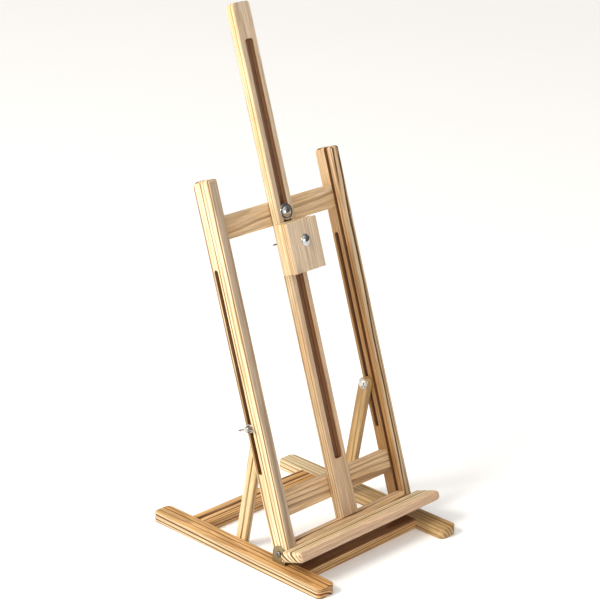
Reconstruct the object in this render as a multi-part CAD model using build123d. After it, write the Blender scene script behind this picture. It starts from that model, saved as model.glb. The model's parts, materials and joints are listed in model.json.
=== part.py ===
from build123d import *
import copy
import math
import os

# Tabletop easel: a flat base of two rails, an H-frame that leans on two slotted braces,
# and a slotted centre mast that carries the canvas ledge and the sliding canvas holder.
# X is to the right, Y to the back, Z up. Lengths are in millimetres.

# ---- timber stock: one flat strip, used for every long member
STRIP_WIDTH = 32.0
STRIP_THICKNESS = 15.0
END_RADIUS = 8.0            # rounding of a strip's end, seen on its wide face
EDGE_RADIUS = 1.2           # softened long edges
GAP = 0.3                   # clearance between pieces that move on each other

# ---- base
RAIL_LENGTH = 320.0
CLEAR_HALF = 114.0          # from the middle to the inner face of a rail or a post
FRONT_BAR_FRONT = 49.0      # from the rails' front ends to the bar's front face
REAR_BAR_FRONT = 240.0
DOWEL_DIAMETER = 6.0
BASE_DOWEL_LENGTH = 30.0
POST_DOWEL_LENGTH = 22.0
DOWEL_SPACING = 16.0

# ---- leaning frame: s runs up along the posts, d runs from their front face to the back
TILT = 20.0                 # lean of the frame from upright, in degrees
FRAME_FRONT = 62.8          # where the posts' front plane meets the rails' top
POST_BOTTOM = 11.5
POST_TOP = 541.0
HEEL_RADIUS = 10.0          # rounding that lets the post turn over its bracket
HINGE_S = 23.0
HINGE_D = 20.0
POST_CROWN_RADIUS = 4.0
POST_CROWN_SIDE_RADIUS = 3.5
GROOVE_D = 11.5             # guide groove for the ledge, in each post's inner face
GROOVE_WIDTH = 5.8
GROOVE_DEPTH = 5.0
POST_SLOT_D = 24.0
POST_SLOT_BOTTOM = 134.0
POST_SLOT_TOP = 420.0
POST_SLOT_WIDTH = 7.0
LOWER_CROSSBAR_S = 84.0     # middle of each crossbar
UPPER_CROSSBAR_S = 471.5

# ---- centre mast and ledge
MAST_BOTTOM = 38.0
MAST_TOP = 763.0
MAST_SLOT_BOTTOM = 124.0
MAST_SLOT_TOP = 709.0
MAST_SLOT_WIDTH = 8.0
MAST_RECESS_WIDTH = 15.0    # shallow track around the slot, in the mast's front face
MAST_RECESS_DEPTH = 3.6
MAST_RECESS_CORNER = 4.0
MAST_CROWN_SIDE_RADIUS = 5.0
MAST_CROWN_REAR_RADIUS = 10.0
LEDGE_BOTTOM = 15.0
LEDGE_DEPTH = 38.0
LEDGE_HALF = 147.0
LEDGE_NOSE_RADIUS = 6.0
CLEAT_BOTTOM = 16.0

# ---- canvas holder
HOLDER_WIDTH = 60.0
HOLDER_BOTTOM = 387.0
HOLDER_TOP = 458.0
HOLDER_DEPTH = 25.0
HOLDER_BOLT_S = 429.0

# ---- braces
BRACE_WIDTH = 18.0
BRACE_THICKNESS = 10.0
BRACE_FOOT_Y = 179.0        # pivot on the rail's inner face
BRACE_FOOT_Z = 9.5
BRACE_BOLT_S = 200.0        # where the brace is clamped in the post's slot at rest

# ---- metal parts
BOLT_DIAMETER = 6.0
BOLT_BORE = 6.1             # running fit of a nut on its bolt
BOLT_HEAD_DIAMETER = 16.0
BOLT_HEAD_HEIGHT = 3.6
BRACE_HEAD_DIAMETER = 12.5
BRACE_HEAD_HEIGHT = 3.0
CLAMP_WASHER_DIAMETER = 23.0
BACK_WASHER_DIAMETER = 18.0
HOLDER_WASHER_DIAMETER = 17.5
BRACE_WASHER_DIAMETER = 15.0
SLOT_WASHER_DIAMETER = 12.0
WASHER_THICKNESS = 1.4
NUT_HUB_HEIGHT = 6.0
NUT_BASE_RADIUS = 5.0
NUT_TOP_RADIUS = 4.0
WING_REACH = 14.0
WING_HEIGHT = 12.5
WING_THICKNESS = 2.4
BOLT_END = 2.5              # length of thread that stands past its nut
BRACKET_THICKNESS = 1.6
BRACKET_WIDTH = 23.0
BRACKET_FOOT_LENGTH = 14.0
BRACKET_TOE_RADIUS = 4.0
PIVOT_DIAMETER = 5.0
PIVOT_BORE = 5.1            # running fit of a pivot screw
PIVOT_HEAD_DIAMETER = 9.0
WOOD_SCREW_DIAMETER = 4.0
WOOD_SCREW_HEAD = 7.6
SMALL_SCREW_DIAMETER = 3.0
SMALL_SCREW_HEAD = 5.6
LEDGE_SCREW_LENGTH = 34.0
MAST_SCREW_LENGTH = 45.0

frame_place = Pos(0, FRAME_FRONT, STRIP_THICKNESS) * Rot(X=-TILT)
post_outside = CLEAR_HALF + STRIP_THICKNESS
mast_front_d = -GAP         # the mast, the cleat and the ledge clear the posts' front plane
mast_back_d = mast_front_d + STRIP_THICKNESS
crossbar_back_d = 2 * STRIP_THICKNESS
brace_inside = CLEAR_HALF - GAP - BRACE_THICKNESS


def frame_point(s, d):
    """World Y and Z of a point of the frame."""
    lean = math.radians(TILT)
    y = FRAME_FRONT + s * math.sin(lean) + d * math.cos(lean)
    z = STRIP_THICKNESS + s * math.cos(lean) - d * math.sin(lean)
    return y, z


hinge_y, hinge_z = frame_point(HINGE_S, HINGE_D)
brace_bolt_y, brace_bolt_z = frame_point(BRACE_BOLT_S, POST_SLOT_D)
brace_rise = brace_bolt_z - BRACE_FOOT_Z
brace_run = brace_bolt_y - BRACE_FOOT_Y
BRACE_LENGTH = math.hypot(brace_rise, brace_run)
BRACE_LEAN = math.degrees(math.atan2(brace_run, brace_rise))
brace_place = Pos(0, BRACE_FOOT_Y, BRACE_FOOT_Z) * Rot(X=-BRACE_LEAN)


# ---- general shapes
def box(x, y, z):
    """A box between two values on each axis."""
    middle = Pos((x[0] + x[1]) / 2, (y[0] + y[1]) / 2, (z[0] + z[1]) / 2)
    return middle * Box(x[1] - x[0], y[1] - y[0], z[1] - z[0])


def rod_x(radius, x, y, z):
    """A round rod along X between two X values."""
    return Pos((x[0] + x[1]) / 2, y, z) * Rot(Y=90) * Cylinder(radius, x[1] - x[0])


def rod_y(radius, x, y, z):
    """A round rod along Y between two Y values."""
    return Pos(x, (y[0] + y[1]) / 2, z) * Rot(X=90) * Cylinder(radius, y[1] - y[0])


def rod_z(radius, x, y, z):
    """A round rod along Z between two Z values."""
    return Pos(x, y, (z[0] + z[1]) / 2) * Cylinder(radius, z[1] - z[0])


def mirrored(shape):
    """The same piece on the other side of the easel."""
    return mirror(shape, Plane.YZ)


def both_sides(shape):
    """A piece and its mirror image."""
    return [shape, mirrored(shape)]


def eased_bar(x, y, z):
    """A bar along X with softened long edges."""
    bar = box(x, y, z)
    return fillet(bar.edges().filter_by(Axis.X), EDGE_RADIUS)


def eased_plate(outline, thickness):
    """A flat strip cut to an outline, with softened edges around both wide faces."""
    plate = extrude(outline, thickness)
    normal = outline.faces()[0].normal_at()
    rims = [e for e in plate.edges() if abs(e.tangent_at(0.5).dot(normal)) < 0.01]
    return fillet(rims, EDGE_RADIUS)


# ---- metal parts, each along +Z with the seat of its head or base at z = 0
def dome_head(diameter, height):
    """A rounded bolt head that stands below z = 0."""
    ball_radius = ((diameter / 2) ** 2 + height**2) / (2 * height)
    ball = Pos(0, 0, ball_radius - height) * Sphere(ball_radius)
    return ball & Pos(0, 0, -height / 2) * Box(2 * diameter, 2 * diameter, height)


def carriage_bolt(length, head_diameter=BOLT_HEAD_DIAMETER):
    """A dome-headed bolt whose shank runs up from z = 0."""
    shank = rod_z(BOLT_DIAMETER / 2, 0, 0, (-1, length))
    shank = chamfer(shank.edges().group_by(Axis.Z)[-1], 0.6)
    return dome_head(head_diameter, BOLT_HEAD_HEIGHT) + shank


def cross_recess(size, depth, top):
    """The driver recess of a screw, cut down from its top towards z = 0."""
    cut_z = (top, top + depth)
    long_way = box((-size / 2, size / 2), (-0.5, 0.5), cut_z)
    return long_way + box((-0.5, 0.5), (-size / 2, size / 2), cut_z)


def pan_screw(diameter, head_diameter, length):
    """A pan-head screw whose shank runs up from z = 0 and ends in a point."""
    head_height = head_diameter * 0.36
    head = dome_head(head_diameter, head_height)
    point = Pos(0, 0, length - diameter / 2) * Cone(diameter / 2, 0.4, diameter)
    shank = rod_z(diameter / 2, 0, 0, (-1, length - diameter))
    return head + shank + point - cross_recess(head_diameter * 0.5, 1.4, -head_height)


def flat_screw(diameter, head_diameter, length):
    """A countersunk screw whose head is flush with z = 0."""
    head_height = (head_diameter - diameter) / 2
    head = Pos(0, 0, head_height / 2) * Cone(head_diameter / 2, diameter / 2, head_height)
    point = Pos(0, 0, length - diameter / 2) * Cone(diameter / 2, 0.4, diameter)
    shank = rod_z(diameter / 2, 0, 0, (head_height, length - diameter))
    return head + shank + point - cross_recess(head_diameter * 0.5, 1.2, 0)


def screw_hole(diameter, head_diameter, length):
    """The hole that a countersunk screw fills."""
    head_height = (head_diameter - diameter) / 2
    head = Pos(0, 0, head_height / 2) * Cone(head_diameter / 2, diameter / 2, head_height)
    return head + rod_z(diameter / 2, 0, 0, (0, length))


def washer(diameter, bore=BOLT_DIAMETER + 0.4):
    """A flat ring with its lower face at z = 0."""
    ring = rod_z(diameter / 2, 0, 0, (0, WASHER_THICKNESS))
    return ring - rod_z(bore / 2, 0, 0, (-1, WASHER_THICKNESS + 1))


def wing_nut():
    """A wing nut with its base at z = 0 and its wings along X."""
    hub = Pos(0, 0, NUT_HUB_HEIGHT / 2) * Cone(NUT_BASE_RADIUS, NUT_TOP_RADIUS, NUT_HUB_HEIGHT)
    corners = [
        (0, 0.8),
        (NUT_BASE_RADIUS, 0.8),
        (WING_REACH, WING_HEIGHT * 0.55),
        (WING_REACH, WING_HEIGHT),
        (WING_REACH * 0.66, WING_HEIGHT),
        (NUT_TOP_RADIUS, NUT_HUB_HEIGHT),
        (0, NUT_HUB_HEIGHT),
    ]
    wing_face = make_face(Polyline(corners, close=True))
    tips = [v for v in wing_face.vertices() if v.X > WING_REACH * 0.6]
    wing_face = fillet(tips, 2.0)
    wing = Pos(0, WING_THICKNESS / 2, 0) * extrude(Plane.XZ * wing_face, WING_THICKNESS)
    nut = hub + wing + mirror(wing, Plane.YZ)
    return nut - rod_z(BOLT_BORE / 2, 0, 0, (-1, WING_HEIGHT))


# ---- base
def rail():
    """The right rail, lying flat, with its ends rounded in plan."""
    middle = Pos(CLEAR_HALF + STRIP_WIDTH / 2, RAIL_LENGTH / 2, 0)
    outline = middle * RectangleRounded(STRIP_WIDTH, RAIL_LENGTH, END_RADIUS)
    piece = eased_plate(outline, STRIP_THICKNESS)
    piece -= base_dowels
    piece -= [brace_pivot_hole] + bracket_screw_holes
    return piece


def base_bar(front):
    """A bar between the rails, flush with their top and underside."""
    span = (-CLEAR_HALF, CLEAR_HALF)
    bar = eased_bar(span, (front, front + STRIP_WIDTH), (0, STRIP_THICKNESS))
    return bar - base_dowels


def dowel_at(y, z, length):
    """A dowel that joins a bar to the member on its right."""
    half = length / 2
    peg = rod_x(DOWEL_DIAMETER / 2, (CLEAR_HALF - half, CLEAR_HALF + half), y, z)
    return chamfer(peg.edges(), 0.8)


def hinge_bracket():
    """The right bracket: a round-topped cheek outside the post and a foot under it."""
    inner = post_outside + GAP
    outer = inner + BRACKET_THICKNESS
    side = (hinge_y - BRACKET_WIDTH / 2, hinge_y + BRACKET_WIDTH / 2)
    foot_top = STRIP_THICKNESS + BRACKET_THICKNESS
    foot = box((outer - BRACKET_FOOT_LENGTH, outer), side, (STRIP_THICKNESS, foot_top))
    toe = foot.edges().filter_by(Axis.Z).group_by(Axis.X)[0]
    foot = fillet(toe, BRACKET_TOE_RADIUS)
    cheek = box((inner, outer), side, (STRIP_THICKNESS, hinge_z))
    crown = rod_x(BRACKET_WIDTH / 2, (inner, outer), hinge_y, hinge_z)
    hole = rod_x(PIVOT_DIAMETER / 2, (inner - 1, outer + 1), hinge_y, hinge_z)
    bracket = foot + cheek + crown - hole
    for cut in bracket_screw_holes:
        bracket -= cut
    return bracket


def hinge_screw():
    """The screw that the right post turns on."""
    screw = pan_screw(PIVOT_DIAMETER, PIVOT_HEAD_DIAMETER, STRIP_THICKNESS - 1)
    seat = post_outside + GAP + BRACKET_THICKNESS
    return Pos(seat, hinge_y, hinge_z) * Rot(Y=-90) * screw


def brace_foot_screw():
    """The screw that the right brace turns on, driven into the rail from inside."""
    screw = pan_screw(PIVOT_DIAMETER, PIVOT_HEAD_DIAMETER, BRACE_THICKNESS + 20)
    seat = brace_inside - GAP
    return Pos(seat, BRACE_FOOT_Y, BRACE_FOOT_Z) * Rot(Y=90) * screw


# ---- leaning frame, built upright in its own s and d and then leaned back
def post():
    """The right post, on edge, with its guide groove and brace slot."""
    corners = [
        (0, POST_BOTTOM),
        (STRIP_WIDTH, POST_BOTTOM),
        (STRIP_WIDTH, POST_TOP),
        (0, POST_TOP),
    ]
    face = make_face(Polyline(corners, close=True))
    heel = [v for v in face.vertices() if v.Y < POST_TOP - 1 and v.X > 1]
    face = fillet(heel, HEEL_RADIUS)
    rear_crown = [v for v in face.vertices() if v.Y > POST_TOP - 1 and v.X > 1]
    face = fillet(rear_crown, END_RADIUS)
    front_crown = [v for v in face.vertices() if v.Y > POST_TOP - 1 and v.X < 1]
    face = fillet(front_crown, POST_CROWN_RADIUS)
    piece = Pos(CLEAR_HALF, 0, 0) * eased_plate(Plane.YZ * face, STRIP_THICKNESS)
    envelope = box((CLEAR_HALF, post_outside), (-1, STRIP_WIDTH + 1), (0, POST_TOP))
    crown_sides = envelope.edges().filter_by(Axis.Y).group_by(Axis.Z)[-1]
    piece &= fillet(crown_sides, POST_CROWN_SIDE_RADIUS)
    groove_side = (GROOVE_D - GROOVE_WIDTH / 2, GROOVE_D + GROOVE_WIDTH / 2)
    groove_x = (CLEAR_HALF - 1, CLEAR_HALF + GROOVE_DEPTH)
    piece -= box(groove_x, groove_side, (0, POST_TOP + 1))
    slot_length = POST_SLOT_TOP - POST_SLOT_BOTTOM
    slot = Rot(0, 0, 90) * SlotOverall(slot_length, POST_SLOT_WIDTH)
    slot_middle = (POST_SLOT_TOP + POST_SLOT_BOTTOM) / 2
    slot_cut = extrude(Plane.YZ * slot, 3 * STRIP_THICKNESS)
    piece -= Pos(CLEAR_HALF - STRIP_THICKNESS, POST_SLOT_D, slot_middle) * slot_cut
    pivot_x = (CLEAR_HALF + 1.5, post_outside + 1)
    piece -= rod_x(PIVOT_BORE / 2, pivot_x, HINGE_D, HINGE_S)
    for peg in crossbar_dowels:
        piece -= peg
    return piece


def crossbar(middle_s):
    """A bar between the posts, behind the mast."""
    side = (middle_s - STRIP_WIDTH / 2, middle_s + STRIP_WIDTH / 2)
    bar = eased_bar((-CLEAR_HALF, CLEAR_HALF), (STRIP_THICKNESS, crossbar_back_d), side)
    for peg in crossbar_dowels:
        bar -= peg
    return bar


def clamp_bolt(seat_d, back_d, s):
    """A bolt that runs back from its front seat and ends past its wing nut."""
    length = back_d - seat_d + WASHER_THICKNESS + NUT_HUB_HEIGHT + BOLT_END
    return Pos(0, seat_d, s) * Rot(X=-90) * carriage_bolt(length)


def back_washer(back_d, s):
    """The washer under a wing nut behind the frame."""
    return Pos(0, back_d, s) * Rot(X=-90) * washer(BACK_WASHER_DIAMETER)


def back_wing_nut(back_d, s):
    """A wing nut behind the frame, with level wings."""
    return Pos(0, back_d + WASHER_THICKNESS, s) * Rot(X=-90) * wing_nut()


# ---- mast and ledge
def mast():
    """The centre strip with its long bolt slot and the shallow track around it."""
    height = MAST_TOP - MAST_BOTTOM
    face = Pos(0, (MAST_TOP + MAST_BOTTOM) / 2) * Rectangle(STRIP_WIDTH, height)
    crown = [v for v in face.vertices() if v.Y > MAST_TOP - 1]
    face = fillet(crown, MAST_CROWN_SIDE_RADIUS)
    piece = Pos(0, mast_back_d, 0) * eased_plate(Plane.XZ * face, STRIP_THICKNESS)
    envelope = box((-STRIP_WIDTH, STRIP_WIDTH), (mast_front_d - 1, mast_back_d), (0, MAST_TOP))
    rear_top = envelope.edges().filter_by(Axis.X).group_by(Axis.Y)[-1].sort_by(Axis.Z)[-1]
    piece &= fillet(rear_top, MAST_CROWN_REAR_RADIUS)
    slot_length = MAST_SLOT_TOP - MAST_SLOT_BOTTOM
    slot_middle = (MAST_SLOT_TOP + MAST_SLOT_BOTTOM) / 2
    slot = Rot(0, 0, 90) * SlotOverall(slot_length, MAST_SLOT_WIDTH)
    slot_cut = Pos(0, mast_back_d + 1, slot_middle) * extrude(Plane.XZ * slot, 30)
    track_length = slot_length + MAST_RECESS_WIDTH - MAST_SLOT_WIDTH
    track = RectangleRounded(MAST_RECESS_WIDTH, track_length, MAST_RECESS_CORNER)
    track_back = mast_front_d + MAST_RECESS_DEPTH
    track_cut = Pos(0, track_back, slot_middle) * extrude(Plane.XZ * track, 30)
    piece = piece - slot_cut - track_cut
    for cut in mast_screw_holes:
        piece -= cut
    return piece


def ledge_cleat():
    """The strip between the posts that the mast stands on, tongued into both grooves."""
    side = CLEAR_HALF - GAP
    body = box((-side, side), (mast_front_d, mast_back_d), (CLEAT_BOTTOM, MAST_BOTTOM))
    body = fillet(body.edges().filter_by(Axis.X), EDGE_RADIUS)
    tongue_half = GROOVE_WIDTH / 2 - GAP
    tongue_x = CLEAR_HALF + GROOVE_DEPTH - 2 * GAP
    tongue_d = (GROOVE_D - tongue_half, GROOVE_D + tongue_half)
    tongue = box((-tongue_x, tongue_x), tongue_d, (CLEAT_BOTTOM + 2, MAST_BOTTOM - 2))
    cleat = body + tongue
    for cut in mast_screw_holes + ledge_screw_holes:
        cleat -= cut
    return cleat


def ledge_board():
    """The shelf that the canvas stands on, with a rounded front edge."""
    top = LEDGE_BOTTOM + STRIP_THICKNESS
    front = mast_front_d - LEDGE_DEPTH
    board = box((-LEDGE_HALF, LEDGE_HALF), (front, mast_front_d), (LEDGE_BOTTOM, top))
    corners = board.edges().filter_by(Axis.Z).group_by(Axis.Y)[0]
    board = fillet(corners, END_RADIUS / 2)
    nose = [e for e in board.edges().filter_by(Axis.X) if e.center().Y < front + 1]
    board = fillet(nose, LEDGE_NOSE_RADIUS)
    for cut in ledge_screw_holes:
        board -= cut
    return board


# ---- canvas holder
def canvas_holder():
    """The block that steadies the canvas's top edge, keyed into the mast's track."""
    half = HOLDER_WIDTH / 2
    back = mast_front_d - GAP
    block = box((-half, half), (back - HOLDER_DEPTH, back), (HOLDER_BOTTOM, HOLDER_TOP))
    block = fillet(block.edges(), EDGE_RADIUS)
    key_half = MAST_RECESS_WIDTH / 2 - GAP
    key_back = mast_front_d + MAST_RECESS_DEPTH - GAP
    key_s = (HOLDER_BOTTOM + 2, HOLDER_TOP - 2)
    key = box((-key_half, key_half), (back - 1, key_back), key_s)
    bore = rod_y(BOLT_DIAMETER / 2, 0, (back - HOLDER_DEPTH - 1, key_back + 1), HOLDER_BOLT_S)
    return block + key - bore


# ---- braces
def brace():
    """The right brace, a thin strip with round ends inside the rail and the post."""
    outline = Rot(0, 0, 90) * SlotCenterToCenter(BRACE_LENGTH, BRACE_WIDTH)
    outline = Pos(0, BRACE_LENGTH / 2) * outline
    strip = eased_plate(Plane.YZ * outline, BRACE_THICKNESS)
    strip -= rod_x(PIVOT_BORE / 2, (-1, BRACE_THICKNESS + 1), 0, 0)
    strip -= rod_x(BOLT_DIAMETER / 2, (-1, BRACE_THICKNESS + 1), 0, BRACE_LENGTH)
    return Pos(brace_inside, 0, 0) * brace_place * strip


def brace_bolt():
    """The dome head and neck that turn with the right brace."""
    head = dome_head(BRACE_HEAD_DIAMETER, BRACE_HEAD_HEIGHT)
    neck = rod_z(BOLT_DIAMETER / 2, 0, 0, (-1, WASHER_THICKNESS + BRACE_THICKNESS))
    seat = brace_inside - WASHER_THICKNESS
    return Pos(seat, brace_bolt_y, brace_bolt_z) * Rot(Y=90) * (head + neck)


def brace_washer():
    """The washer under the head of the right brace's bolt."""
    seat = brace_inside - WASHER_THICKNESS
    return Pos(seat, brace_bolt_y, brace_bolt_z) * Rot(Y=90) * washer(BRACE_WASHER_DIAMETER)


def at_slot_bolt(shape, x):
    """Place a metal part on the right slot bolt's axis, pointing out, wings across the post."""
    return Pos(x, POST_SLOT_D, BRACE_BOLT_S) * Rot(Y=90) * Rot(Z=90) * shape


def slot_stud():
    """The threaded shank that slides in the right post's slot."""
    outer = post_outside + GAP + WASHER_THICKNESS + NUT_HUB_HEIGHT + BOLT_END
    shank = rod_z(BOLT_DIAMETER / 2, 0, 0, (0, outer - CLEAR_HALF))
    shank = chamfer(shank.edges().group_by(Axis.Z)[-1], 0.6)
    return at_slot_bolt(shank, CLEAR_HALF)


# ---- fixings that cut holes in the pieces they join
def dowel_group(places, length):
    """Dowels on both sides at the given places, in Y and Z."""
    pegs = []
    for y, z in places:
        pegs += both_sides(dowel_at(y, z, length))
    return pegs


def screw_group(places, diameter, head_diameter, length):
    """Countersunk screws at the given places, and the holes they fill."""
    screws = [place * flat_screw(diameter, head_diameter, length) for place in places]
    holes = [place * screw_hole(diameter, head_diameter, length) for place in places]
    return screws, holes


dowel_offsets = (-DOWEL_SPACING / 2, DOWEL_SPACING / 2)
base_dowel_places = []
for bar_front in (FRONT_BAR_FRONT, REAR_BAR_FRONT):
    for offset in dowel_offsets:
        base_dowel_places.append((bar_front + STRIP_WIDTH / 2 + offset, STRIP_THICKNESS / 2))
base_dowels = dowel_group(base_dowel_places, BASE_DOWEL_LENGTH)

crossbar_dowel_places = []
for middle_s in (LOWER_CROSSBAR_S, UPPER_CROSSBAR_S):
    for offset in dowel_offsets:
        crossbar_dowel_places.append((1.5 * STRIP_THICKNESS, middle_s + offset))
crossbar_dowels = dowel_group(crossbar_dowel_places, POST_DOWEL_LENGTH)

bracket_screw_x = post_outside - BRACKET_FOOT_LENGTH / 2
bracket_screw_z = STRIP_THICKNESS + BRACKET_THICKNESS
bracket_places = []
for side in (-1, 1):
    for offset in (-BRACKET_WIDTH / 4, BRACKET_WIDTH / 4):
        seat = Pos(side * bracket_screw_x, hinge_y + offset, bracket_screw_z)
        bracket_places.append(seat * Rot(X=180))
bracket_screws, bracket_screw_holes = screw_group(
    bracket_places, SMALL_SCREW_DIAMETER, SMALL_SCREW_HEAD, STRIP_THICKNESS - 3
)

brace_pivot_hole = rod_x(
    PIVOT_DIAMETER / 2, (CLEAR_HALF - 1, CLEAR_HALF + 21), BRACE_FOOT_Y, BRACE_FOOT_Z
)

ledge_screw_s = LEDGE_BOTTOM + STRIP_THICKNESS / 2
ledge_places = []
for x in (-95, -45, 45, 95):
    ledge_places.append(Pos(x, mast_back_d, ledge_screw_s) * Rot(X=90))
ledge_screws, ledge_screw_holes = screw_group(
    ledge_places, WOOD_SCREW_DIAMETER, WOOD_SCREW_HEAD, LEDGE_SCREW_LENGTH
)

mast_middle_d = (mast_front_d + mast_back_d) / 2
mast_places = []
for x in (-9, 9):
    mast_places.append(Pos(x, mast_middle_d, CLEAT_BOTTOM))
mast_screws, mast_screw_holes = screw_group(
    mast_places, WOOD_SCREW_DIAMETER, WOOD_SCREW_HEAD, MAST_SCREW_LENGTH
)

# ---- the nodes: standing pieces first, then the leaning ones, which are built upright
clamp_seat_d = mast_front_d - GAP - WASHER_THICKNESS
holder_seat_d = mast_front_d - GAP - HOLDER_DEPTH - WASHER_THICKNESS
holder_back_d = mast_back_d + GAP
slot_washer_x = post_outside + GAP

standing = {
    "right_rail": [rail()],
    "front_bar": [base_bar(FRONT_BAR_FRONT)],
    "rear_bar": [base_bar(REAR_BAR_FRONT)],
    "base_dowels": base_dowels,
    "right_hinge_bracket": [hinge_bracket()],
    "bracket_screws": bracket_screws,
    "hinge_screws": both_sides(hinge_screw()),
    "brace_foot_screws": both_sides(brace_foot_screw()),
    "right_brace": [brace()],
    "right_brace_bolt": [brace_bolt()],
    "right_brace_washer": [brace_washer()],
}

upper_crossbar = crossbar(UPPER_CROSSBAR_S)
upper_crossbar -= rod_y(BOLT_DIAMETER / 2, 0, (0, crossbar_back_d + 1), UPPER_CROSSBAR_S)
leaning = {
    "right_post": [post()],
    "lower_crossbar": [crossbar(LOWER_CROSSBAR_S)],
    "upper_crossbar": [upper_crossbar],
    "crossbar_dowels": crossbar_dowels,
    "mast_clamp_bolt": [clamp_bolt(clamp_seat_d, crossbar_back_d, UPPER_CROSSBAR_S)],
    "mast_clamp_front_washer": [
        Pos(0, clamp_seat_d, UPPER_CROSSBAR_S) * Rot(X=-90) * washer(CLAMP_WASHER_DIAMETER)
    ],
    "mast_clamp_back_washer": [back_washer(crossbar_back_d, UPPER_CROSSBAR_S)],
    "mast_clamp_wing_nut": [back_wing_nut(crossbar_back_d, UPPER_CROSSBAR_S)],
    "mast": [mast()],
    "ledge_board": [ledge_board()],
    "ledge_cleat": [ledge_cleat()],
    "ledge_screws": ledge_screws,
    "mast_screws": mast_screws,
    "canvas_holder": [canvas_holder()],
    "holder_bolt": [clamp_bolt(holder_seat_d, holder_back_d, HOLDER_BOLT_S)],
    "holder_front_washer": [
        Pos(0, holder_seat_d, HOLDER_BOLT_S) * Rot(X=-90) * washer(HOLDER_WASHER_DIAMETER)
    ],
    "holder_back_washer": [back_washer(holder_back_d, HOLDER_BOLT_S)],
    "holder_wing_nut": [back_wing_nut(holder_back_d, HOLDER_BOLT_S)],
    "right_slot_stud": [slot_stud()],
    "right_slot_washer": [at_slot_bolt(washer(SLOT_WASHER_DIAMETER), slot_washer_x)],
    "right_brace_wing_nut": [at_slot_bolt(wing_nut(), slot_washer_x + WASHER_THICKNESS)],
}

nodes = dict(standing)
for name, solids in leaning.items():
    nodes[name] = [frame_place * solid for solid in solids]
for name in list(nodes):
    if name.startswith("right_"):
        left_name = name.replace("right_", "left_")
        nodes[left_name] = [mirrored(solid) for solid in nodes[name]]

# ---- put the middle of the footprint at the origin and write one file for each node
every_solid = Compound(children=[solid for solids in nodes.values() for solid in solids])
footprint = every_solid.bounding_box()
to_origin = Pos(0, -footprint.center().Y, -footprint.min.Z)
os.makedirs("parts", exist_ok=True)
for name, solids in nodes.items():
    export_step(to_origin * Compound(children=[copy.copy(s) for s in solids]), f"parts/{name}.step")
print("moved back by", round(footprint.center().Y, 4), "and up by", round(-footprint.min.Z, 4))
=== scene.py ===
import json
import math

import bmesh
import bpy
from mathutils import Matrix, Vector


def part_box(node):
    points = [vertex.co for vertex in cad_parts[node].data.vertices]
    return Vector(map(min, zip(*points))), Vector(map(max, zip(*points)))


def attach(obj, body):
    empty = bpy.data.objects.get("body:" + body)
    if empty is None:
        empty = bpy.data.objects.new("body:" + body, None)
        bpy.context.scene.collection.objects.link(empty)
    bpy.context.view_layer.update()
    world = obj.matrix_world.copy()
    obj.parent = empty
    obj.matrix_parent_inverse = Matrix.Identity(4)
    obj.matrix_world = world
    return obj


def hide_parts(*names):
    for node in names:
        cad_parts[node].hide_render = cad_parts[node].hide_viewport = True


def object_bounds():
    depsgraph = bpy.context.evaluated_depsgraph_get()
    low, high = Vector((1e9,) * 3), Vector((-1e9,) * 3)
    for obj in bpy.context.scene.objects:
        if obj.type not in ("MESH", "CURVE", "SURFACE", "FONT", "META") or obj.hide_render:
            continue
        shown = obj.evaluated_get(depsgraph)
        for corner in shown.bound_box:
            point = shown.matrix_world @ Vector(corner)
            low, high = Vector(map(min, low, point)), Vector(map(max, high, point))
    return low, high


# Looks of the tabletop easel: pine in every wooden piece, plated hardware built as detailed
# meshes, a pale floor, soft light and the camera. All lengths are in metres unless they end in _mm.

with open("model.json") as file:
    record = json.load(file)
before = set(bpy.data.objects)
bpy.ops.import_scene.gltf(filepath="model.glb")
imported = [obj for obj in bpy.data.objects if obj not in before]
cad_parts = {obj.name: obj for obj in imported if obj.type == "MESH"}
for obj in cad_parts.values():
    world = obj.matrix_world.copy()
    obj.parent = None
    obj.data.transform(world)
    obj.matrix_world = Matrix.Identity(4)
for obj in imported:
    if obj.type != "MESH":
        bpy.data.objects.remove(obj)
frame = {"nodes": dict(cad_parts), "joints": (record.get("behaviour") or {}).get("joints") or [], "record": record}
cad_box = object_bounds()
nodes = frame["nodes"]
record = frame["record"]
joints = {joint["name"]: joint for joint in frame["joints"]}
MM = 0.001

# ---- directions of the object at rest
ACROSS = Vector((1, 0, 0))
BACK = Vector((0, 1, 0))
UP = Vector((0, 0, 1))
POST_UP = Vector(joints["mast_slide"]["axis"]).normalized()
POST_BACK = ACROSS.cross(POST_UP).normalized()
if POST_BACK.y < 0:
    POST_BACK = -POST_BACK
BRACE_FOOT = Vector(joints["left_brace_swing"]["pos_m"])
SLOT_BOLT = Vector(joints["left_nut_spin"]["pos_m"])
BRACE_UP = Vector((0, SLOT_BOLT.y - BRACE_FOOT.y, SLOT_BOLT.z - BRACE_FOOT.z)).normalized()
BRACE_BACK = Vector((0, BRACE_UP.z, -BRACE_UP.y))


def span(node, axis):
    """Lowest and highest value of a CAD node along an axis."""
    values = [axis.dot(v.co) for v in nodes[node].data.vertices]
    return min(values), max(values)


def middle(node, axes):
    """The middle of a CAD node, measured along three axes that are square to each other."""
    point = Vector((0, 0, 0))
    for axis in axes:
        low, high = span(node, axis)
        point += axis * (low + high) / 2
    return point


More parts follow.
